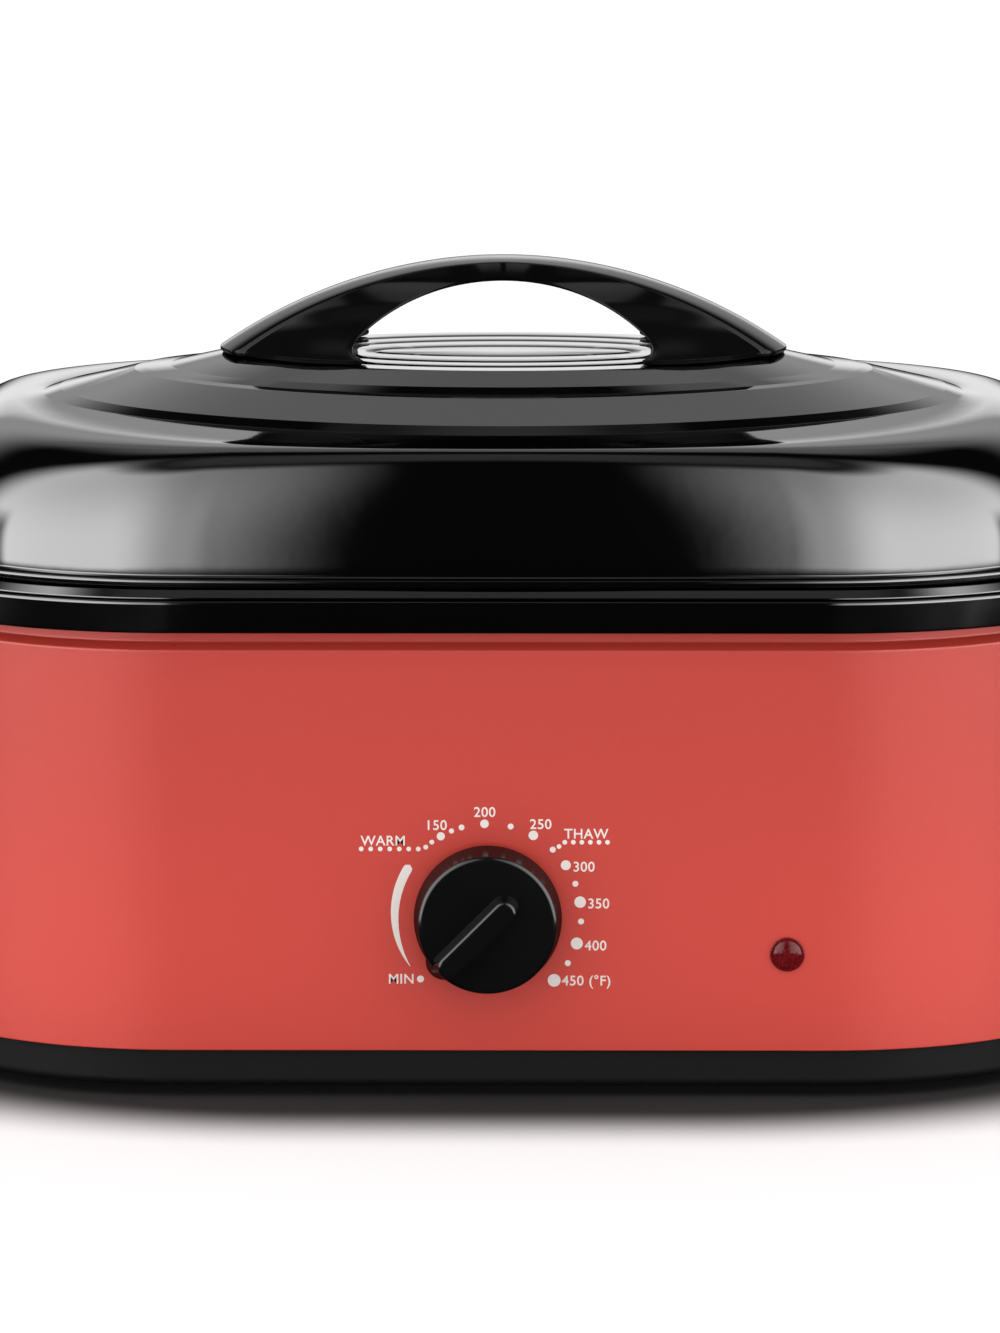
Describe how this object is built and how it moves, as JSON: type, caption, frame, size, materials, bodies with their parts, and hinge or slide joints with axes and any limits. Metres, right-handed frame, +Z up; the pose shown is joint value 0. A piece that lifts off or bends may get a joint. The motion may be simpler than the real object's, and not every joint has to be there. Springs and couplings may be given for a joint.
{
  "type": "electric roaster oven",
  "caption": "Countertop electric roaster oven: red housing with a dial and lamp, black rim, lift-out cookwell with a wire rack, and a high domed lift-off lid with an arched handle.",
  "frame": {"origin": "middle of the bounding box's footprint, at table level", "axes": "+Z up; +Y from the dial's side to the back; +X to the right as seen from the dial's side"},
  "size_m": [0.4146, 0.297, 0.2233],
  "materials": {
    "red_paint": "gloss",
    "base_black": "satin",
    "foot_rubber": "matt",
    "rim_enamel": "gloss",
    "lid_enamel": "gloss",
    "cookwell_enamel": "gloss, finely speckled",
    "aluminised_sheet": "satin",
    "heater_tape": "dull",
    "glass_fibre": "matt",
    "plated_steel": "bright",
    "rack_wire": "bright",
    "black_plastic": "gloss",
    "knob_plastic": "satin gloss",
    "phenolic": "matt",
    "red_lens": "gloss",
    "insulator": "matt",
    "lead_sleeve": "matt"
  },
  "bodies": {
    "housing": {"housing_wall": "red_paint", "base_tray": "base_black", "foot_front_left": "foot_rubber", "foot_front_right": "foot_rubber", "foot_back_left": "foot_rubber", "foot_back_right": "foot_rubber", "rim_trim": "rim_enamel", "heating_well": "aluminised_sheet", "heater_band": "heater_tape", "insulation_blanket": "glass_fibre", "heat_shield": "aluminised_sheet", "shield_post_front_left": "aluminised_sheet", "shield_post_front_right": "aluminised_sheet", "shield_post_back_left": "aluminised_sheet", "shield_post_back_right": "aluminised_sheet", "post_screw_front_left": "plated_steel", "post_screw_front_right": "plated_steel", "post_screw_back_left": "plated_steel", "post_screw_back_right": "plated_steel", "side_handle_left": "black_plastic", "side_handle_right": "black_plastic", "handle_screw_left_front": "plated_steel", "handle_screw_left_back": "plated_steel", "handle_screw_right_front": "plated_steel", "handle_screw_right_back": "plated_steel", "thermostat": "phenolic", "thermostat_nut": "plated_steel", "lamp_lens": "red_lens", "lamp_holder": "insulator", "terminal_block": "insulator", "lead_left": "lead_sleeve", "lead_right": "lead_sleeve", "cord_gland": "black_plastic"},
    "cookwell": {"cookwell": "cookwell_enamel"},
    "rack": {"rack": "rack_wire"},
    "lid": {"lid_shell": "lid_enamel", "lid_handle": "black_plastic", "lid_washer_left": "plated_steel", "lid_washer_right": "plated_steel", "lid_screw_left": "plated_steel", "lid_screw_right": "plated_steel"},
    "dial": {"knob": "knob_plastic", "dial_shaft": "plated_steel", "knob_clip": "plated_steel"}
  },
  "joints": [
    {"name": "cookwell_lift", "type": "slide", "parent": "housing", "child": "cookwell", "axis": [0, 0, 1], "range_m": [0, 0.14]},
    {"name": "lid_lift", "type": "slide", "parent": "cookwell", "child": "lid", "axis": [0, 0, 1], "range_m": [0, 0.14]},
    {"name": "rack_lift", "type": "slide", "parent": "cookwell", "child": "rack", "axis": [0, 0, 1], "range_m": [0, 0.1]},
    {"name": "dial_turn", "type": "hinge", "parent": "housing", "child": "dial", "pos_m": [-0.0035, -0.1245, 0.052], "axis": [0, 1, 0], "range_deg": [0, 268]}
  ]
}
